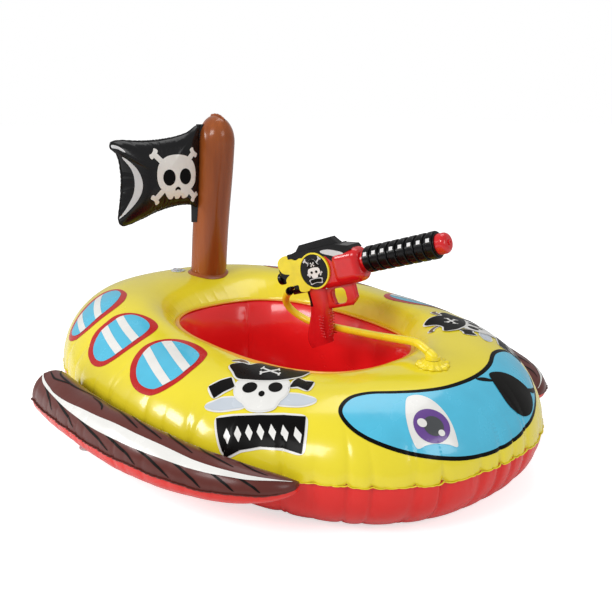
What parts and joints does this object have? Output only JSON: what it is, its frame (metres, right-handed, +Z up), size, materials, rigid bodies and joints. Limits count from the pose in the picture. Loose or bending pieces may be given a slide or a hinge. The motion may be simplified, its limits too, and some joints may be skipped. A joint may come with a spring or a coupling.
{
  "type": "inflatable toy boat",
  "caption": "Inflatable ride-in toy boat with open cockpit, side floats, mast with flag cushion, and a hose-fed pump squirter.",
  "frame": {"origin": "middle of the footprint, on the face that the boat rests on", "axes": "+X towards the bow, +Y towards port, +Z up"},
  "size_m": [1.0103, 0.8322, 0.541],
  "materials": {
    "vinyl_yellow": "gloss",
    "vinyl_red": "gloss",
    "vinyl_weld": "gloss",
    "vinyl_brown": "gloss",
    "vinyl_mast": "gloss",
    "vinyl_black": "gloss",
    "valve_plastic": "satin",
    "fitting_yellow": "gloss",
    "pipe_plastic": "satin",
    "hose_yellow": "satin",
    "gun_red": "gloss",
    "gun_black": "gloss",
    "gun_yellow": "gloss",
    "badge_print": "gloss",
    "gun_white": "gloss",
    "steel": "satin",
    "seal_rubber": "matte"
  },
  "bodies": {
    "boat": {"cockpit_floor": "vinyl_red", "cockpit_wall": "vinyl_red", "far_float_bottom": "vinyl_red", "far_float_flange": "vinyl_red", "far_float_top": "vinyl_brown", "far_float_valve": "valve_plastic", "flag_back_panel": "vinyl_black", "flag_front_panel": "vinyl_black", "flag_strip": "vinyl_black", "hose_fitting_elbow": "fitting_yellow", "hose_fitting_flange": "fitting_yellow", "hull_bottom": "vinyl_red", "hull_deck": "vinyl_yellow", "hull_flange": "vinyl_yellow", "hull_valve": "valve_plastic", "intake_strainer": "pipe_plastic", "mast_base_flange": "vinyl_mast", "mast_end_weld": "vinyl_mast", "mast_tube": "vinyl_mast", "mast_valve": "valve_plastic", "near_float_bottom": "vinyl_red", "near_float_flange": "vinyl_red", "near_float_top": "vinyl_brown", "near_float_valve": "valve_plastic", "rim_weld": "vinyl_weld", "supply_hose": "hose_yellow", "water_pipe": "pipe_plastic"},
    "squirter": {"gun_left_shell": "gun_red", "gun_right_shell": "gun_red", "gun_rear_cap": "gun_black", "gun_top_cover": "gun_black", "gun_rear_knob": "gun_black", "side_panel_left": "gun_yellow", "side_panel_right": "gun_yellow", "badge_ring_left": "gun_yellow", "badge_ring_right": "gun_yellow", "badge_disc_left": "badge_print", "badge_disc_right": "badge_print", "trigger_pin": "steel", "trigger_spring": "steel", "hose_nipple": "gun_black", "inlet_pipe": "pipe_plastic", "pump_cylinder": "pipe_plastic", "inlet_valve_seat": "pipe_plastic", "nose_bush": "gun_red", "gun_screws": "steel"},
    "pump": {"pump_sleeve": "gun_black", "sleeve_windows": "gun_white", "nozzle": "gun_red", "pump_rod": "pipe_plastic", "piston": "pipe_plastic", "piston_ring": "seal_rubber"},
    "trigger": {"trigger": "gun_red"},
    "inlet_ball": {"inlet_valve_ball": "steel"},
    "hull_plug": {"hull_plug": "valve_plastic"},
    "mast_plug": {"mast_plug": "valve_plastic"},
    "near_float_plug": {"near_float_plug": "valve_plastic"},
    "far_float_plug": {"far_float_plug": "valve_plastic"}
  },
  "joints": [
    {"name": "squirter_lift", "type": "slide", "parent": "boat", "child": "squirter", "axis": [0, 0, 1], "range_m": [0, 0.15], "deforming": ["supply_hose"]},
    {"name": "pump_slide", "type": "slide", "parent": "squirter", "child": "pump", "axis": [0.9237, 0.2475, 0.2924], "range_m": [0, 0.07]},
    {"name": "trigger_pull", "type": "hinge", "parent": "squirter", "child": "trigger", "pos_m": [0.08781, 0.04477, 0.25551], "axis": [-0.2588, 0.9659, 0], "range_deg": [0, 12], "stiffness_Nm_per_rad": 0.05, "springref_deg": -8.59, "deforming": ["trigger_spring"]},
    {"name": "inlet_ball_lift", "type": "slide", "parent": "squirter", "child": "inlet_ball", "axis": [0.9237, 0.2475, 0.2924], "range_m": [0, 0.002]},
    {"name": "hull_plug_hinge", "type": "hinge", "parent": "boat", "child": "hull_plug", "pos_m": [-0.372, 0, 0.2184], "axis": [0, -1, 0], "range_deg": [0, 110]},
    {"name": "mast_plug_hinge", "type": "hinge", "parent": "boat", "child": "mast_plug", "pos_m": [-0.35125, 0.05227, 0.26829], "axis": [-0.0039, -1, 0.0041], "range_deg": [0, 110]},
    {"name": "near_float_plug_hinge", "type": "hinge", "parent": "boat", "child": "near_float_plug", "pos_m": [-0.01944, -0.37484, 0.04077], "axis": [0, 1, 0], "range_deg": [0, 110]},
    {"name": "far_float_plug_hinge", "type": "hinge", "parent": "boat", "child": "far_float_plug", "pos_m": [-0.01944, 0.37484, 0.04077], "axis": [0, 1, 0], "range_deg": [0, 110]}
  ]
}
